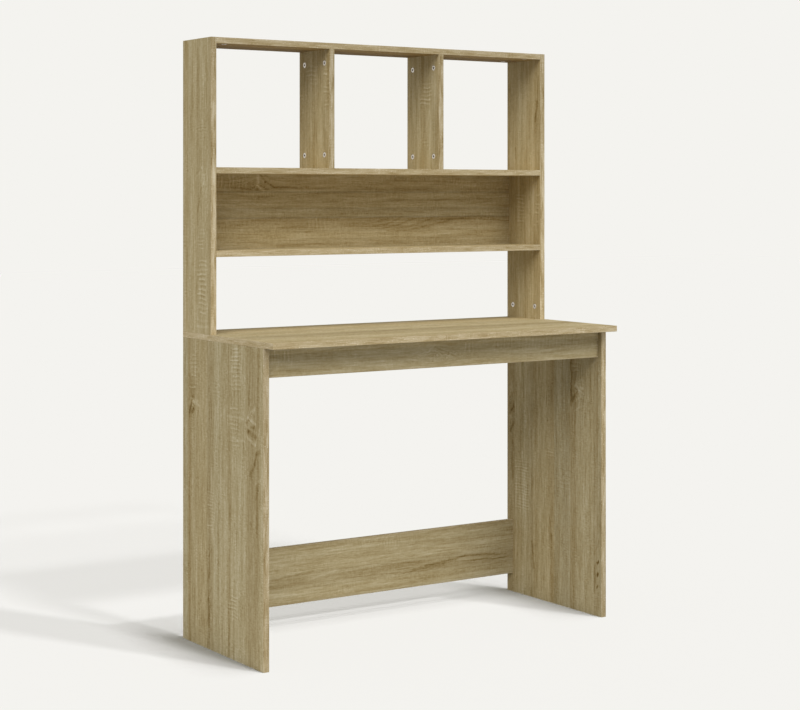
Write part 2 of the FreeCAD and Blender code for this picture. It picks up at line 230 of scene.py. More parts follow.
def build_knot(along, across, along_0, across_0, size_along, size_across):
    """Turns the grain round a knot: how far it moves the grain, how near the knot is, and its eye."""
    pull = -0.85  # the grain's bend, as a share of the distance from the knot's middle line
    eye_tightness = 9.0  # how much more steeply the eye fades than the nearness does
    off_along = (along - along_0) / size_along
    off_across = across - across_0
    square = off_along * off_along + (off_across / size_across) ** 2.0
    near = (-square).op("EXPONENT")
    push = off_across * near * pull
    eye = (square * -eye_tightness).op("EXPONENT")
    return [push, near, eye]


def build_print(along, across, depth, push, near, calm):
    """The print between its figures: a tone about 1 and a height from 0 to 1."""
    ring_spacing = 6.0
    most_ring = 1.4
    bare_tone, bare_height = 1.03, 0.5
    wander = noise(along / 240.0, across / 60.0, depth / 9.0) * 3.5
    curl = noise(along / 16.0, across / 11.0, depth / 4.0, detail=1.0) * near * 7.0
    grain = across + push + wander + curl
    patches = noise(along / 160.0, grain / 16.0, depth / 7.0, detail=1.0)
    bands = noise(along / 420.0, grain / 9.0, depth / 7.0 + 20.0, detail=1.0)
    fine = calm * -0.35 + 1.0
    fibre_length = calm * 40.0 + 50.0
    fibre = noise(along / fibre_length, grain / 3.4, depth / 3.0, detail=3.0, roughness=0.6) * fine
    thread = noise(along / 11.0, grain / 1.7, depth / 2.0, detail=2.0, roughness=0.6) * fine
    phase = grain / ring_spacing + noise(along / 150.0, across / 26.0, depth / 8.0) * 1.1
    inside = phase.fraction()
    ring = ease(abs(inside - 0.5), 0.32, 0.5) - fade(abs(inside - 0.75), 0.04, 0.2) * 0.6
    ringed = ease(noise(along / 130.0, across / 20.0, depth / 6.0 + 40.0), 0.0, 0.8)
    rings = ring * (ringed * 0.7 + near * 1.4).at_most(most_ring)
    marked = calm * -0.8 + 1.0
    marks = noise(along / 3.6, across / 13.0, depth / 5.0, detail=2.0, roughness=0.6) * marked
    rough = ease(noise(along / 75.0, across / 22.0, depth / 6.0 + 80.0), -0.3, 0.8) * 0.7 + 0.3
    pores = ease(noise(along / 11.0, grain / 0.9, depth, detail=1.0), 0.45, 0.95)
    # Each number here is how strongly that part shows.
    tone = (patches * 0.16 + bands * 0.18 + fibre * 0.42 + thread * 0.32 + marks * rough * 0.48
            - rings * 0.17 - pores * 0.08 + bare_tone)
    height = fibre * 0.25 + thread * 0.2 + marks * rough * 0.3 - pores * 0.3 - rings * 0.1 + bare_height
    return [tone, height]


streak = group("streak", ["Along", "Across", "Along 0", "Across 0", "Along 1", "Across 1", "Width"],
               ["Mask"], build_streak)
saw_marks = group("saw_marks", ["Along", "Across", "Along 0", "Along 1", "Across 0", "Across 1", "Pitch"],
                  ["Mask"], build_saw_marks)
knot = group("knot", ["Along", "Across", "Along 0", "Across 0", "Size Along", "Size Across"],
             ["Push", "Near", "Eye"], build_knot)
oak_print = group("oak_print", ["Along", "Across", "Depth", "Push", "Near", "Calm"], ["Tone", "Height"],
                  build_print)

# ---------------------------------------------------------------- how each board looks
X, Y, Z = range(3)
X_ALONG_Y, X_ALONG_Z, Z_ALONG = (X, Y, Z), (X, Z, Y), (Z, Y, X)

Streak = namedtuple("Streak", "along_0 across_0 along_1 across_1 width tone")
Marks = namedtuple("Marks", "along_0 along_1 across_0 across_1 pitch tone")
Knot = namedtuple("Knot", "along across size_along size_across tone")
Look = namedtuple("Look", "axes calm drift band_drift planks figures")

# Axes are the one along the grain, the one across it and the one through the board. Calm is from 0, a busy
# fine grain, to 1, hardly any. The first drift is the tone at the board's low end and at its high end, and
# the band drift is that of its edge bands. Planks are (where it starts across, tone, warmth). Most of them
# follow bands that were measured across the photo's faces, shortened, rounded and then adjusted. Figures are
# placed one by one. The tone of a figure is added to that of the print, so a figure below 0 is dark. Places
# are in millimetres on the object.
# Both drifts are partly the print's own slow change of tone and partly painted light and shade, where light
# falls unevenly on a board: the stretcher is painted lighter at its left end, the back panel darker at its
# right end and the hutch sides' edge bands darker towards the top.
EVEN = (1.0, 1.0)
LOOKS = {
    "left_leg_panel": Look(
        axes=Z_ALONG, calm=0.15, drift=(0.99, 0.92), band_drift=(1.04, 0.96), planks=[
            (-181, 1.14, 0.94), (-163, 0.93, 1.05), (-140, 0.9, 1.06), (-108, 0.97, 1.02),
            (-98, 1.09, 0.94), (-42, 1.06, 0.96), (-22, 0.94, 1.04), (-9, 1.04, 0.97), (28, 1.08, 0.93),
            (62, 0.97, 1.01), (74, 0.87, 1.08), (98, 1.0, 1.04), (150, 1.02, 1.01), (162, 0.97, 1.04),
            (181, 0.86, 1.14), (200, 1.04, 0.92),
        ], figures=[
            Knot(575, -122, 34, 22, 0.12), Knot(578, 168, 22, 18, -0.1),
            Streak(558, -162, 518, -142, 4, 0.2), Streak(518, -142, 532, -104, 4, 0.2),
            Streak(430, -150, 310, -150, 6, -0.12), Streak(745, -120, 610, -112, 4, -0.12),
            Streak(700, -160, 560, -150, 4, -0.1), Streak(360, -20, 0, -15, 5, -0.12),
            Streak(330, -42, 20, -38, 4, -0.08), Streak(600, 75, 450, 76, 5, -0.1),
            Streak(116, 88, 60, 86, 8, -0.2), Streak(235, 84, 120, 92, 5, -0.12),
            Streak(583, 138, 592, 165, 4, 0.14), Streak(592, 165, 588, 190, 4, 0.12),
            Streak(572, 166, 566, 176, 6, -0.24), Streak(745, 189, 0, 188, 4, -0.1),
            Streak(650, 184, 560, 184, 12, -0.1), Streak(602, 172, 565, 187, 6, -0.24),
            Streak(594, 142, 598, 186, 3, 0.12), Streak(602, -140, 574, -102, 5, 0.18),
            Streak(592, -126, 566, -98, 5, -0.21), Streak(566, -144, 580, -106, 4, 0.18),
            Streak(560, -140, 548, -104, 6, -0.2), Streak(552, -130, 556, -106, 3, 0.16),
            Streak(535, -150, 545, -108, 6, -0.17), Streak(573, -90, 573, -5, 2.5, 0.1),
            Streak(522, -90, 522, -12, 2.5, 0.1), Streak(505, -166, 498, -146, 7, -0.17),
            Streak(498, -146, 475, -139, 8, -0.17), Streak(475, -139, 450, -122, 9, -0.14),
            Streak(450, -122, 410, -126, 11, -0.08), Streak(440, -166, 430, -144, 4, 0.1),
            Streak(430, -152, 320, -152, 11, -0.06), Streak(245, 72, 215, 95, 4, -0.1),
            Streak(195, 76, 165, 92, 4, -0.09), Streak(150, 74, 120, 94, 4, -0.1),
            Streak(112, 76, 62, 96, 7, -0.1), Streak(52, 80, 8, 96, 6, -0.1),
            Marks(625, 745, -75, -20, 9.5, 0.12), Marks(495, 612, -70, -20, 9.5, 0.09),
            Marks(90, 160, -60, -10, 9, 0.13), Marks(612, 655, 40, 70, 9, 0.13),
            Marks(285, 392, 60, 95, 8, 0.13), Marks(615, 712, 145, 190, 10, 0.12),
            Marks(24, 40, 140, 190, 16, 0.12),
        ]),
    "right_leg_panel": Look(
        axes=Z_ALONG, calm=0.3, drift=(0.97, 0.96), band_drift=(0.9, 1.1), planks=[
            (-181, 0.88, 0.98), (-166, 0.83, 1.04), (-148, 0.93, 0.99), (-130, 0.96, 0.97),
            (-88, 0.9, 1.01), (-76, 0.82, 1.08), (-52, 0.88, 0.97), (-19, 0.94, 0.96), (16, 0.88, 1.13),
            (39, 1.0, 1.05), (50, 1.08, 0.99), (66, 1.03, 1.03), (107, 0.94, 1.05), (132, 1.1, 0.96),
            (160, 1.04, 1.03), (190, 0.87, 1.15),
        ], figures=[
            Knot(578, -84, 34, 26, 0.05), Knot(520, 210, 60, 20, -0.06),
            Streak(690, -56, 540, -56, 6, -0.14), Streak(588, -104, 592, -70, 4, 0.16),
            Streak(572, -82, 555, -62, 7, -0.16), Streak(232, 38, 160, 22, 5, -0.1),
            Streak(180, 30, 10, 24, 9, -0.18), Streak(150, 112, 82, 106, 5, -0.18),
            Streak(60, 126, 10, 128, 3, -0.1), Streak(230, -158, 205, -150, 4, -0.14),
            Streak(196, -170, 160, -152, 4, -0.12), Streak(142, -168, 139, -165, 5, -0.55),
            Streak(110, -168, 107, -165, 5, -0.55), Streak(78, -166, 75, -163, 4, -0.35),
            Streak(130, -155, 62, -152, 5, -0.2), Streak(700, -60, 555, -60, 10, -0.1),
            Streak(700, -84, 560, -82, 30, -0.09), Streak(700, -55, 540, -55, 3, -0.14),
            Streak(574, -108, 584, -86, 3, 0.12), Streak(612, -100, 596, -74, 3, 0.12),
            Streak(566, -98, 552, -72, 3, 0.12), Streak(540, -96, 526, -70, 3, 0.1),
            Streak(170, 31, 20, 25, 2.5, 0.12), Streak(580, -84, 562, -62, 5, -0.12),
            Streak(512, 196, 494, 212, 6, -0.17), Streak(468, 196, 446, 210, 6, -0.16),
            Streak(415, 200, 392, 196, 6, -0.17), Streak(375, 202, 320, 200, 10, -0.14),
            Streak(550, 198, 535, 214, 4, -0.12), Streak(486, 214, 478, 198, 3, 0.08),
            Streak(438, 212, 430, 198, 3, 0.08),
            Marks(225, 378, 122, 192, 8.0, 0.1), Marks(355, 372, -55, -10, 14, 0.14),
            Marks(620, 690, -95, -58, 11, 0.1), Marks(385, 420, 10, 55, 8, 0.12),
            Marks(290, 300, 190, 222, 10, 0.16), Marks(24, 40, -110, -60, 14, 0.12),
            Marks(305, 345, -50, 5, 12, 0.1),
        ]),
    "left_hutch_side": Look(
        axes=Z_ALONG, calm=0.4, drift=(1.02, 0.96), band_drift=(1.18, 0.9), planks=[
            (77, 0.91, 1.05), (92, 1.04, 0.97), (126, 0.99, 1.0), (140, 0.92, 1.04), (150, 1.03, 0.99),
            (176, 0.98, 1.01), (198, 0.93, 1.08), (213, 1.0, 0.97),
        ], figures=[
            Knot(1135, 118, 40, 24, 0.1),
            Streak(1115, 128, 1060, 145, 6, -0.11), Streak(1060, 146, 1000, 148, 5, -0.07),
            Streak(1142, 110, 1126, 114, 6, 0.1), Streak(1450, 146, 1220, 146, 8, -0.07),
            Streak(1160, 128, 1150, 150, 4, -0.09), Streak(1480, 200, 1370, 198, 16, 0.07),
            Streak(1480, 110, 1240, 112, 30, -0.03), Streak(1165, 120, 1145, 150, 4, 0.1),
            Marks(955, 1025, 108, 142, 9, 0.11), Marks(800, 950, 95, 148, 11.5, 0.12),
            Marks(765, 800, 85, 150, 14, 0.09), Marks(1225, 1275, 90, 150, 8, -0.06),
            Marks(800, 1060, 198, 222, 9, 0.06),
        ]),
    "right_hutch_side": Look(
        axes=Z_ALONG, calm=0.7, drift=(1.0, 0.97), band_drift=(1.25, 0.93), planks=[
            (77, 0.95, 1.1), (93, 0.97, 1.1), (108, 1.06, 1.03), (124, 1.0, 1.06), (134, 0.97, 1.09),
            (150, 1.03, 1.03), (180, 0.95, 1.11), (204, 0.97, 1.1),
        ], figures=[
            Streak(1350, 90, 1300, 98, 6, -0.2), Streak(1420, 84, 1350, 92, 4, -0.12),
            Streak(1226, 190, 1200, 186, 4, -0.14), Streak(1110, 106, 1040, 108, 4, 0.08),
            Marks(1266, 1276, 146, 194, 10, 0.16), Marks(1228, 1240, 148, 196, 12, 0.13),
            Marks(1010, 1110, 80, 100, 12, 0.16), Marks(1010, 1110, 140, 185, 10, 0.09),
            Marks(975, 992, 192, 220, 12, 0.1),
        ]),
    "left_divider": Look(
        axes=Z_ALONG, calm=0.5, drift=(0.96, 0.96), band_drift=(0.98, 0.86), planks=[
            (77, 0.97, 1.08), (92, 1.0, 1.03), (114, 1.07, 1.01), (134, 1.01, 1.05), (150, 0.95, 1.1),
            (158, 1.01, 1.04), (181, 0.95, 1.08), (204, 0.94, 1.1),
        ], figures=[
            Streak(1290, 153, 1240, 152, 4, -0.1), Streak(1460, 86, 1320, 86, 8, -0.08),
            Marks(1310, 1420, 78, 100, 11, 0.16), Marks(1370, 1440, 135, 185, 11, 0.1),
            Marks(1305, 1320, 186, 222, 14, 0.14), Marks(1330, 1365, 200, 222, 9, 0.1),
        ]),
    "right_divider": Look(
        axes=Z_ALONG, calm=0.6, drift=(0.96, 1.02), band_drift=(1.02, 0.88), planks=[
            (77, 0.93, 1.04), (93, 1.02, 0.95), (112, 1.07, 0.95), (130, 0.99, 1.01), (146, 0.92, 1.09),
            (158, 1.06, 0.98), (181, 1.04, 1.0), (207, 1.0, 1.06),
        ], figures=[
            Streak(1320, 122, 1280, 132, 4, 0.1), Streak(1460, 150, 1330, 155, 6, -0.08),
            Marks(1330, 1402, 110, 158, 10.5, 0.16), Marks(1220, 1250, 118, 160, 9, 0.08),
        ]),
    # Its top plank is painted lighter, to soften the shadow that the desktop casts on it.
    "front_apron": Look(
        axes=X_ALONG_Z, calm=0.7, drift=(0.95, 0.95), band_drift=EVEN, planks=[
            (675, 1.05, 0.97), (690, 1.02, 0.97), (704, 1.05, 0.97), (728, 1.22, 0.97),
        ], figures=[
            Knot(-12, 706, 60, 22, -0.06),
            Streak(-20, 724, 40, 700, 4, -0.1), Streak(-50, 712, -20, 728, 3, 0.08),
            Marks(-485, -420, 704, 742, 9, 0.09), Marks(60, 100, 700, 742, 11, 0.07),
            Marks(150, 460, 704, 742, 11, 0.05),
        ]),
    "rear_stretcher": Look(
        axes=X_ALONG_Z, calm=0.6, drift=(1.23, 0.83), band_drift=EVEN, planks=[
            (51, 0.95, 1.0), (57, 1.02, 1.01), (64, 1.07, 0.97), (84, 0.98, 1.0), (92, 0.93, 1.03),
            (121, 0.98, 1.0), (129, 1.05, 0.98), (152, 1.01, 1.0), (165, 1.05, 0.97), (186, 0.96, 1.02),
        ], figures=[
            Streak(-270, 118, -150, 128, 4, -0.16), Streak(-160, 108, -80, 122, 4, 0.09),
            Streak(60, 124, 180, 116, 3, -0.14), Streak(200, 104, 330, 116, 4, -0.17),
            Streak(330, 118, 470, 108, 3, -0.15), Streak(-80, 100, 120, 96, 3, -0.14),
            Streak(130, 92, 260, 102, 3, -0.16), Streak(160, 98, 300, 108, 3, -0.15),
            Streak(300, 104, 470, 98, 3, -0.15),
            Marks(168, 188, 70, 100, 12, 0.08), Marks(40, 130, 165, 190, 9, 0.06),
        ]),
    "hutch_back_panel": Look(
        axes=X_ALONG_Z, calm=0.35, drift=(1.03, 0.89), band_drift=EVEN, planks=[
            (957, 0.96, 1.1), (986, 1.04, 1.08), (1002, 0.97, 1.1), (1012, 0.88, 1.18),
            (1028, 0.82, 1.24), (1037, 0.7, 1.12), (1041, 0.95, 1.08), (1065, 1.14, 1.06),
            (1076, 1.1, 1.09), (1103, 0.84, 1.1), (1107, 1.0, 1.14), (1116, 1.06, 1.14),
            (1128, 1.12, 1.1),
        ], figures=[
            Knot(-300, 1124, 50, 24, 0.0),
            Streak(-490, 1132, -335, 1132, 22, -0.06), Streak(-345, 1114, -310, 1112, 9, -0.14),
            Streak(-301, 1152, -302, 1122, 4, 0.18), Streak(-302, 1120, -286, 1110, 4, 0.12),
            Streak(-294, 1150, -280, 1130, 4, -0.17), Streak(-280, 1130, -255, 1118, 4, -0.17),
            Streak(-255, 1118, -60, 1115, 4, -0.12), Streak(-284, 1152, -266, 1138, 4, -0.11),
            Streak(-266, 1138, -180, 1128, 4, -0.09), Streak(-296, 1122, -270, 1111, 4, -0.14),
            Streak(15, 1020, 62, 1027, 3, -0.09), Streak(62, 1027, 92, 1037, 4, -0.09),
            Streak(45, 1013, 90, 1021, 3, -0.09), Streak(90, 1021, 130, 1036, 4, -0.1),
            Streak(70, 1008, 128, 1018, 4, -0.1), Streak(128, 1018, 180, 1035, 4, -0.11),
            Streak(95, 1004, 165, 1014, 4, -0.1), Streak(165, 1014, 235, 1034, 4, -0.11),
            Streak(120, 1000, 205, 1011, 4, -0.09), Streak(205, 1011, 300, 1031, 4, -0.11),
            Streak(265, 1033, 400, 1032, 4, -0.12), Streak(400, 1032, 495, 1026, 4, -0.12),
            Streak(250, 1014, 480, 1010, 13, 0.06), Streak(420, 1106, 470, 1122, 4, 0.08),
            Marks(-495, -335, 1110, 1150, 10, 0.09), Marks(235, 250, 1105, 1150, 12, 0.1),
            Marks(-160, -90, 1005, 1040, 12, 0.09), Marks(-430, -380, 1000, 1030, 9, 0.06),
        ]),
    # Its last two planks are darker towards the rear edge.
    "desktop": Look(
        axes=X_ALONG_Y, calm=0.0, drift=EVEN, band_drift=(1.12, 1.09), planks=[
            (-225, 1.05, 1.02), (-170, 1.14, 0.97), (-112, 1.02, 1.0), (-80, 0.92, 1.03),
            (-26, 1.05, 0.97), (-8, 1.19, 0.94), (34, 1.1, 0.98), (66, 1.02, 1.0), (84, 1.15, 1.03),
            (140, 1.03, 1.08), (176, 0.84, 1.08), (194, 0.74, 1.06),
        ], figures=[
            Streak(-500, 48, -270, 44, 20, -0.04), Streak(-200, -32, -20, -30, 22, -0.05),
            Streak(200, -42, 490, -50, 24, -0.05), Streak(50, -95, 280, -90, 22, -0.03),
            Streak(60, -142, 480, -150, 28, 0.04), Streak(-450, 6, -350, 4, 14, 0.04),
        ]),
    "lower_shelf": Look(
        axes=X_ALONG_Y, calm=0.3, drift=(1.06, 0.97), band_drift=(1.14, 1.03), planks=[
            (77, 1.14, 0.99), (110, 1.05, 1.02), (150, 1.03, 0.98), (185, 0.88, 1.02),
        ], figures=[]),
    # Its planks are far lighter than the print: painted light on its underside.
    "upper_shelf": Look(
        axes=X_ALONG_Y, calm=0.5, drift=(0.95, 1.0), band_drift=(1.01, 1.08), planks=[
            (77, 1.66, 1.0), (105, 1.68, 1.02), (160, 1.5, 1.06), (190, 1.42, 1.06),
        ], figures=[]),
    # Its planks are dark and warm: painted shade, the brown of its underside in shadow.
    "hutch_top": Look(
        axes=X_ALONG_Y, calm=0.5, drift=EVEN, band_drift=(0.97, 0.97), planks=[
            (77, 0.6, 1.7), (98, 0.62, 1.7), (140, 0.42, 1.78), (176, 0.36, 1.84),
        ], figures=[]),
}

# ---------------------------------------------------------------- materials
OAK = (0.438, 0.352, 0.188)
BAND_OAK = (0.458, 0.368, 0.213)
ZINC = (0.64, 0.60, 0.55)
STEEL = (0.60, 0.59, 0.57)
BEECH = (0.60, 0.42, 0.25)
STREAK_STRENGTH, MARKS_STRENGTH = 1.7, 2.2  # what the tone of such a figure is multiplied by
STEP_ALONG, STEP_ACROSS = 411.0, 137.0  # from one board's place in the print to the next board's, in mm
JOINT = 1.5  # from the line between two planks to where each has its full tone, in mm
LEAST_TONE = 0.3  # keeps the darkest grain from going black
WOOD_ROUGHNESS = 0.86  # in a hollow
WOOD_SHINE = 0.12  # how much less rough the print is at a height of 1
WOOD_SPECULAR = 0.08
BOARD_BUMP, BAND_BUMP, METAL_BUMP = 0.35, 0.3, 0.2
WOOD_RELIEF, METAL_RELIEF = 0.2, 0.1  # in mm
BANDS = "_edge_bands"


def new_material(name):
    material = bpy.data.materials.new(name)
    material.use_nodes = True
    tree = material.node_tree
    shader = tree.nodes["Principled BSDF"]
    return material, tree, shader


def place(tree):
    """The point on the object, in millimetres."""
    coordinates = tree.nodes.new("ShaderNodeTexCoord")
    split = tree.nodes.new("ShaderNodeSeparateXYZ")
    tree.links.new(coordinates.outputs["Object"], split.inputs[0])
    return [Value(socket) * (1.0 / MM) for socket in split.outputs]


def add_bump(tree, shader, height, strength, relief):
    """Makes the surface look uneven. A height of 1 stands for the relief in millimetres."""
    node = tree.nodes.new("ShaderNodeBump")
    node.inputs["Strength"].default_value = strength
    node.inputs["Distance"].default_value = relief * MM
    plug(node.inputs["Height"], height)
    tree.links.new(node.outputs["Normal"], shader.inputs["Normal"])


def plank_ramp(across, planks, high):
    """Tone and warmth of the planks, up to the board's high edge, with a sharp change at each joint."""
    most = 2.0  # tone and warmth are stored as shares of this, because a ramp holds 0 to 1
    low = planks[0][0]
    node = across.socket.id_data.nodes.new("ShaderNodeValToRGB")
    plug(node.inputs["Fac"], (across - low) / (high - low))
    stops = node.color_ramp.elements
    while len(stops) > 1:
        stops.remove(stops[-1])
    ends = [start for start, _, _ in planks[1:]] + [high]
    points = [(at, tone, warmth) for (start, tone, warmth), end in zip(planks, ends)
              for at in (start + JOINT, end - JOINT)]
    for number, (at, tone, warmth) in enumerate(points):
        position = (at - low) / (high - low)
        stop = stops.new(position) if number else stops[0]
        stop.position = position
        stop.color = (tone / most, warmth / most, 0.0, 1.0)
    split = node.id_data.nodes.new("ShaderNodeSeparateColor")
    node.id_data.links.new(node.outputs["Color"], split.inputs[0])
    return Value(split.outputs[0]) * most, Value(split.outputs[1]) * most


def drift(along, board, tones):
    """A tone that changes evenly along a board, from the first one at its low end to the second. In part it
    is painted light and shade: lighter where more light falls, darker where shade falls.
    """
    axis = LOOKS[board].axes[0]
    low, high = (corner[axis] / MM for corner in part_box(board))
    low_tone, high_tone = tones
    return (along - low) * ((high_tone - low_tone) / (high - low)) + low_tone


def shade_wood(tree, shader, base, plank_tone, warmth, tone, height, bump):
    """Colours wood. Dark grain is redder than light grain, and so is a warm plank than a cool one."""
    red_by_tone, blue_by_tone = 0.8, 1.5
    red_by_warmth, blue_by_warmth = 0.35, -0.65
    local = tone.at_least(LEAST_TONE)
    red = plank_tone * (local ** red_by_tone) * (warmth ** red_by_warmth) * base[0]
    green = plank_tone * local * base[1]
    blue = plank_tone * (local ** blue_by_tone) * (warmth ** blue_by_warmth) * base[2]
    plug(shader.inputs["Base Color"], color(red, green, blue))
    plug(shader.inputs["Roughness"], height * -WOOD_SHINE + WOOD_ROUGHNESS)
    shader.inputs["Specular IOR Level"].default_value = WOOD_SPECULAR
    add_bump(tree, shader, height, bump, WOOD_RELIEF)


def board_material(board):
    """The oak print on one board, with the board's own planks and figures."""
    look = LOOKS[board]
    material, tree, shader = new_material("oak_print_board-" + board)
    point = place(tree)
    along, across, depth = (point[axis] for axis in look.axes)
    high_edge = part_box(board)[1][look.axes[1]] / MM
    plank_tone, warmth = plank_ramp(across, look.planks, high_edge)
    # Partly painted light and shade along the board.
    plank_tone = plank_tone * drift(along, board, look.drift)
    push = near = mark = 0.0
    for figure in look.figures:
        shape = figure[:-1]  # all of it but its tone
        if isinstance(figure, Knot):
            turn, close, eye = knot(tree, along, across, *shape)
            push += turn
            near += close
            mark += eye * figure.tone
        elif isinstance(figure, Streak):
            line, = streak(tree, along, across, *shape)
            mark += line * (figure.tone * STREAK_STRENGTH)
        else:
            lines, = saw_marks(tree, along, across, *shape)
            mark += lines * (figure.tone * MARKS_STRENGTH)
    number = sorted(LOOKS).index(board) + 1
    print_along = along + number * STEP_ALONG
    print_across = across + number * STEP_ACROSS
    tone, height = oak_print(tree, print_along, print_across, depth, push, near, look.calm)
    shade_wood(tree, shader, OAK, plank_tone, warmth, tone + mark, height, BOARD_BUMP)
    return material


def band_material(board):
    """The strip glued on a board's raw edges: paler, with short fibres along it."""
    end_from, end_to = 0.75, 0.85  # how squarely a face looks along the board where it counts as its end
    lean = 0.61  # how much the print moves on for each millimetre of depth, so that it isn't plain lines
    look = LOOKS[board]
    material, tree, shader = new_material("oak_edge_band-" + board + BANDS)
    x, y, z = place(tree)
    geometry = tree.nodes.new("ShaderNodeNewGeometry")
    split = tree.nodes.new("ShaderNodeSeparateXYZ")
    tree.links.new(geometry.outputs["Normal"], split.inputs[0])
    if look.axes == Z_ALONG:
        length, thickness, unevenness = z, x, 0.50
    else:
        length, thickness, unevenness = x, z, 0.26
    on_end = ease(abs(Value(split.outputs[look.axes[0]])), end_from, end_to)
    along = length + (y - length) * on_end
    over = thickness + y * (on_end * -lean + lean) + length * on_end
    fibre = noise(along / 34.0, over / 1.6, 5.0, detail=2.0)
    broad = noise(along / 90.0, over / 9.0, 9.0, detail=1.0)
    flecks = ease(noise(along / 3.2, over / 3.0, 17.0, detail=1.0), 0.25, 0.85)
    dark = ease(noise(along / 6.0, over / 1.2, 23.0, detail=1.0), 0.35, 0.9)
    ticked = ease(noise(along / 70.0, 1.0, 37.0), -0.1, 0.6)
    ticks = noise(along / 3.0, over / 30.0, 31.0, detail=1.0) * ticked
    tone = fibre * 0.42 + broad * unevenness + flecks * 0.60 - dark * 0.66 + ticks * 0.30 + 0.99
    height = fibre * 0.15 + flecks * 0.1 - dark * 0.2 + 0.5
    # Partly painted light and shade along the band.
    band_tone = drift(length, board, look.band_drift)
    shade_wood(tree, shader, BAND_OAK, band_tone, 1.0, tone, height, BAND_BUMP)
    return material


def metal_material(name, base, roughness):
    """Bare metal with a cloudy tone and a fine grit."""
    material, tree, shader = new_material(name)
    x, y, z = place(tree)
    cloud = noise(x / 3.0, y / 3.0, z / 3.0, detail=3.0)
    grit = noise(x / 0.5, y / 0.5, z / 0.5, detail=2.0)
    tone = cloud * 0.10 + grit * 0.05 + 1.0
    plug(shader.inputs["Base Color"], color(*(tone * part for part in base)))
    plug(shader.inputs["Roughness"], cloud * 0.08 + roughness)
    shader.inputs["Metallic"].default_value = 1.0
    add_bump(tree, shader, grit, METAL_BUMP, METAL_RELIEF)
    return material


def beech_material():
    """Raw beech with flecks along X."""
    material, tree, shader = new_material("dowel_beech")
    x, y, z = place(tree)
    flecks = noise(x / 4.0, y / 1.0, z / 1.0, detail=3.0)
    tone = flecks * 0.10 + 1.0
    plug(shader.inputs["Base Color"], color(*(tone * part for part in BEECH)))
    plug(shader.inputs["Roughness"], flecks * 0.05 + 0.7)
    return material


zinc = metal_material("cam_zinc", ZINC, 0.45)
steel = metal_material("bolt_steel", STEEL, 0.32)
beech = beech_material()

for name, node in NODES.items():
    if name in LOOKS:
        material = board_material(name)
    elif name.endswith(BANDS):
        material = band_material(name.removesuffix(BANDS))
    elif name.endswith("bolts"):
        material = steel
    elif name.endswith("dowels"):
        material = beech
    else:
        material = zinc
    for slot in node.material_slots:
        slot.material = material

# ---------------------------------------------------------------- cam locks, finer than their CAD drums
CAM_SEGMENTS = 48
# The outline of a cam as (height over its face, radius), from its lower end over its side to its face.
CAM_RINGS = [(-12.4, 7.0), (-12.2, 7.4), (-1.4, 7.4), (-0.5, 7.0), (0.0, 6.3), (0.0, 4.6), (-0.15, 4.4),
             (-0.15, 4.1)]
CROSS_REACH, CROSS_HALF, CROSS_DEPTH = 2.7, 1.7, 8.0
CROSS_TAPER = 0.85  # how large the cross is at its bottom, as a share of its size at the face
CAM_SHARP = 28  # edges that turn by more degrees than this stay sharp
WELD = 0.001 * MM  # corners of a CAD mesh that are nearer than this are the same corner


def solids_of(node):
    """The lowest and highest corner of each separate solid of a CAD node, in millimetres."""
    mesh = bmesh.new()
    mesh.from_mesh(node.data)
    bmesh.ops.remove_doubles(mesh, verts=mesh.verts, dist=WELD)
    left = set(mesh.verts)
    boxes = []
    while left:
        found = set()
        waiting = [left.pop()]
        while waiting:
            vert = waiting.pop()
            found.add(vert)
            for link in vert.link_edges:
                other = link.other_vert(vert)
                if other in left:
                    left.remove(other)
                    waiting.append(other)
        low = Vector([min(v.co[axis] for v in found) for axis in range(3)]) / MM
        high = Vector([max(v.co[axis] for v in found) for axis in range(3)]) / MM
        boxes.append((low, high))
    mesh.free()
    return sorted(boxes, key=lambda box: tuple(round(c, 1) for c in box[0]))


def add_cam(mesh, matrix):
    """One cam: a drum with a rounded rim, a small step inside it and a cross recess. Its face is at z = 0
    and it reaches down."""
    rings = []
    for z, radius in CAM_RINGS:
        rings.append([mesh.verts.new(matrix @ Vector((radius * math.cos(turn), radius * math.sin(turn), z)))
                      for turn in (math.tau * k / CAM_SEGMENTS for k in range(CAM_SEGMENTS))])
    mesh.faces.new(list(reversed(rings[0])))
    for lower, upper in zip(rings, rings[1:]):
        for k in range(CAM_SEGMENTS):
            after = (k + 1) % CAM_SEGMENTS
            mesh.faces.new((lower[k], lower[after], upper[after], upper[k]))
    corners = []
    for quarter in range(4):
        turn = Matrix.Rotation(quarter * math.pi / 2, 3, "Z")
        corners += [turn @ Vector(point) for point in (
            (CROSS_REACH, -CROSS_HALF, 0.0), (CROSS_REACH, CROSS_HALF, 0.0), (CROSS_HALF, CROSS_HALF, 0.0))]
    face = Vector((0, 0, CAM_RINGS[-1][0]))
    bottom = Vector((0, 0, -CROSS_DEPTH))
    top = [mesh.verts.new(matrix @ (corner + face)) for corner in corners]
    low = [mesh.verts.new(matrix @ (corner * CROSS_TAPER + bottom)) for corner in corners]
    rim = [mesh.edges.get((rings[-1][k], rings[-1][(k + 1) % CAM_SEGMENTS])) for k in range(CAM_SEGMENTS)]
    cross = [mesh.edges.new((top[k], top[(k + 1) % len(top)])) for k in range(len(top))]
    bmesh.ops.triangle_fill(mesh, use_beauty=True, edges=rim + cross)
    for k in range(len(top)):
        after = (k + 1) % len(top)
        mesh.faces.new((top[k], top[after], low[after], low[k]))
    mesh.faces.new(low)


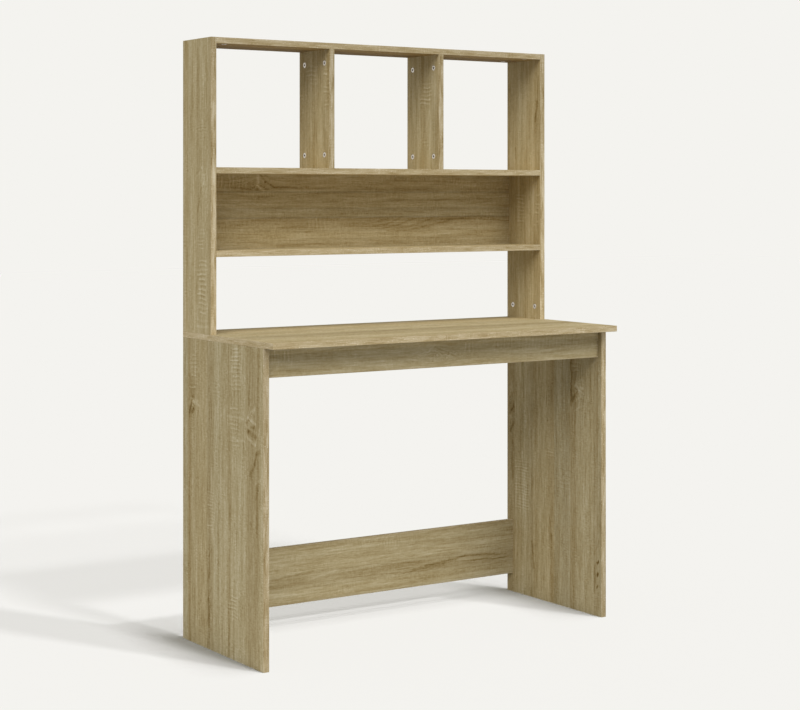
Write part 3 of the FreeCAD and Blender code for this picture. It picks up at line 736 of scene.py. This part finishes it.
def cam_piece(node_name, axis, facing):
    """The detailed cams of one node, which face along that axis the way that facing says."""
    mesh = bmesh.new()
    slant = Matrix.Rotation(math.pi / 4, 4, "Z")
    for low, high in solids_of(NODES[node_name]):
        middle = (low + high) / 2
        sign = facing(middle)
        spot = middle.copy()
        spot[axis] = high[axis] if sign > 0 else low[axis]
        normal = Vector([sign if k == axis else 0.0 for k in range(3)])
        turn = normal.to_track_quat("Z", "Y").to_matrix().to_4x4()
        add_cam(mesh, Matrix.Scale(MM, 4) @ Matrix.Translation(spot) @ turn @ slant)
    bmesh.ops.recalc_face_normals(mesh, faces=mesh.faces)
    data = bpy.data.meshes.new(node_name + "_detailed")
    mesh.to_mesh(data)
    mesh.free()
    data.shade_smooth()
    data.set_sharp_from_angle(angle=math.radians(CAM_SHARP))
    data.materials.append(zinc)
    piece = bpy.data.objects.new(node_name + "_detailed", data)
    bpy.context.scene.collection.objects.link(piece)
    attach(piece, "root")
    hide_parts(node_name)


# Which way along its axis a cam faces, from the middle of its solid.
def low_side(middle):
    return -1


def high_side(middle):
    return 1


def inward(middle):
    return -1 if middle.x > 0 else 1


cam_piece("hutch_top_cams", Z, low_side)
cam_piece("upper_shelf_cams", Z, high_side)
cam_piece("left_divider_cams", X, low_side)
cam_piece("right_divider_cams", X, low_side)
cam_piece("hutch_side_cams", X, inward)
cam_piece("leg_cams", X, inward)
cam_piece("stretcher_cams", Y, high_side)

# ---------------------------------------------------------------- floor and backdrop
PALE = (0.905, 0.896, 0.863, 1.0)  # the photo's backdrop and lit floor
AMBIENT = 0.363
FLOOR_REACH = 20.0
FLOOR_DROP = 0.2 * MM  # keeps the floor just clear of the legs
FLOOR_GREY = 0.1  # how much light the floor gives back to the camera
FLOOR_BOUNCE = 0.0599  # how much light the floor gives back to the object

# Each shadow on the floor comes from a lamp of its own, which lights only the floor. Its share is the part
# of the floor's light that is gone in that shadow. Only boards with a blocker in their names cast it.
LEGS = ("leg_panel",)
LEFT_LEG = ("left_leg_panel",)
DESK = ("desktop", "front_apron")
STRETCHER = ("rear_stretcher",)
HUTCH = ("hutch", "shelf", "divider")
FloorLamp = namedtuple("FloorLamp", "name azimuth elevation spread share blockers")
FLOOR_LAMPS = [
    FloorLamp("floor_low_right", -64, 37, 5, 0.145, LEGS + STRETCHER),
    FloorLamp("floor_low_front", -80, 36, 5, 0.094, DESK + LEFT_LEG),
    FloorLamp("floor_low_all", -84, 38, 4, 0.040, LEGS + STRETCHER + DESK + HUTCH),
    FloorLamp("floor_half_left", -118, 60, 4, 0.085, DESK),
    FloorLamp("floor_half_front", -90, 68, 10, 0.080, LEGS + STRETCHER),
    FloorLamp("floor_high_right", -65, 76, 10, 0.220, LEGS),
    FloorLamp("floor_high_front", -90, 80, 12, 0.130, LEGS),
    FloorLamp("floor_over", -25, 82, 10, 0.110, LEGS + STRETCHER),
]


def seen_directly(tree):
    """1 for what the camera sees, also in a reflection or through glass, and 0 for light that bounces."""
    path = tree.nodes.new("ShaderNodeLightPath")
    rays = [Value(path.outputs[kind]) for kind in ("Is Camera Ray", "Is Glossy Ray", "Is Transmission Ray")]
    return (rays[0] + rays[1] + rays[2]).clamp()


def floor_material():
    """A dim matt floor with a glow that brings it up to PALE where every lamp reaches it."""
    lit = sum(one.share for one in FLOOR_LAMPS) * PALE[0] + AMBIENT * FLOOR_GREY
    material = bpy.data.materials.new("floor_pale")
    material.use_nodes = True
    tree = material.node_tree
    tree.nodes.clear()
    direct = seen_directly(tree)
    grey = direct * (FLOOR_GREY - FLOOR_BOUNCE) + FLOOR_BOUNCE
    matt = tree.nodes.new("ShaderNodeBsdfDiffuse")
    plug(matt.inputs["Color"], color(grey, grey, grey))
    glow = tree.nodes.new("ShaderNodeEmission")
    glow.inputs["Color"].default_value = [part - lit for part in PALE[:3]] + [1.0]
    plug(glow.inputs["Strength"], direct)
    both = tree.nodes.new("ShaderNodeAddShader")
    out = tree.nodes.new("ShaderNodeOutputMaterial")
    tree.links.new(matt.outputs[0], both.inputs[0])
    tree.links.new(glow.outputs[0], both.inputs[1])
    tree.links.new(both.outputs[0], out.inputs["Surface"])
    return material


def add_floor():
    """A wide plane that isn't part of the object."""
    mesh = bpy.data.meshes.new("floor")
    corners = [(-FLOOR_REACH, -FLOOR_REACH, 0), (FLOOR_REACH, -FLOOR_REACH, 0),
               (FLOOR_REACH, FLOOR_REACH, 0), (-FLOOR_REACH, FLOOR_REACH, 0)]
    mesh.from_pydata(corners, [], [(0, 1, 2, 3)])
    mesh.materials.append(floor_material())
    plane = bpy.data.objects.new("floor", mesh)
    plane.location.z = -FLOOR_DROP
    bpy.context.scene.collection.objects.link(plane)
    return plane


def add_world():
    """Even white light on the object, and a pale backdrop for the camera."""
    world = bpy.data.worlds.new("studio")
    world.use_nodes = True
    bpy.context.scene.world = world
    tree = world.node_tree
    around = tree.nodes["Background"]
    around.inputs["Color"].default_value = (1.0, 1.0, 1.0, 1.0)
    around.inputs["Strength"].default_value = AMBIENT
    backdrop = tree.nodes.new("ShaderNodeBackground")
    backdrop.inputs["Color"].default_value = PALE
    choice = tree.nodes.new("ShaderNodeMixShader")
    plug(choice.inputs[0], seen_directly(tree))
    tree.links.new(around.outputs[0], choice.inputs[1])
    tree.links.new(backdrop.outputs[0], choice.inputs[2])
    tree.links.new(choice.outputs[0], tree.nodes["World Output"].inputs["Surface"])


floor = add_floor()
add_world()

# ---------------------------------------------------------------- lamps


def lamp(name, azimuth, elevation, spread, strength, blockers=None):
    """A lamp far off in that direction, in degrees. At strength 1 a white surface that faces it looks white.
    Without blockers it lights all but the floor. With blockers it lights only the floor, and only boards
    with one of them in their names cast its shadow."""
    light = bpy.data.lights.new(name, "SUN")
    light.angle = math.radians(spread)
    light.energy = math.pi * strength
    holder = bpy.data.objects.new(name, light)
    turn, tilt = math.radians(azimuth), math.radians(elevation)
    toward = Vector((math.cos(turn) * math.cos(tilt), math.sin(turn) * math.cos(tilt), math.sin(tilt)))
    holder.rotation_euler = toward.to_track_quat("Z", "Y").to_euler()
    bpy.context.scene.collection.objects.link(holder)
    receivers = bpy.data.collections.new(name + "_receivers")
    receivers.objects.link(floor)
    holder.light_linking.receiver_collection = receivers
    if blockers is None:
        receivers.collection_objects[0].light_linking.link_state = "EXCLUDE"
        return
    shade = bpy.data.collections.new(name + "_blockers")
    for board, node in NODES.items():
        if any(word in board for word in blockers):
            shade.objects.link(node)
    holder.light_linking.blocker_collection = shade


lamp("key", azimuth=-72, elevation=38, spread=24, strength=0.26)
lamp("fill", azimuth=-138, elevation=41, spread=40, strength=0.58)
for one in FLOOR_LAMPS:
    given_back = FLOOR_GREY * math.sin(math.radians(one.elevation))
    lamp(one.name, one.azimuth, one.elevation, one.spread, one.share * PALE[0] / given_back, one.blockers)

# ---------------------------------------------------------------- camera
# Its place, turn and lens come from a perspective fit to the corners of the boards in the photo. It is
# level, because the photo's uprights are parallel.
camera = bpy.data.cameras.new("camera")
camera.sensor_width = 36.0
camera.lens = 82.968
camera.shift_y = -0.2011
viewer = bpy.data.objects.new("camera", camera)
viewer.location = (-2.5938, -3.8801, 1.0998)
viewer.rotation_euler = (math.pi / 2, 0.0, math.radians(-33.626))
bpy.context.scene.collection.objects.link(viewer)
bpy.context.scene.camera = viewer
bpy.context.scene.view_settings.view_transform = "Standard"
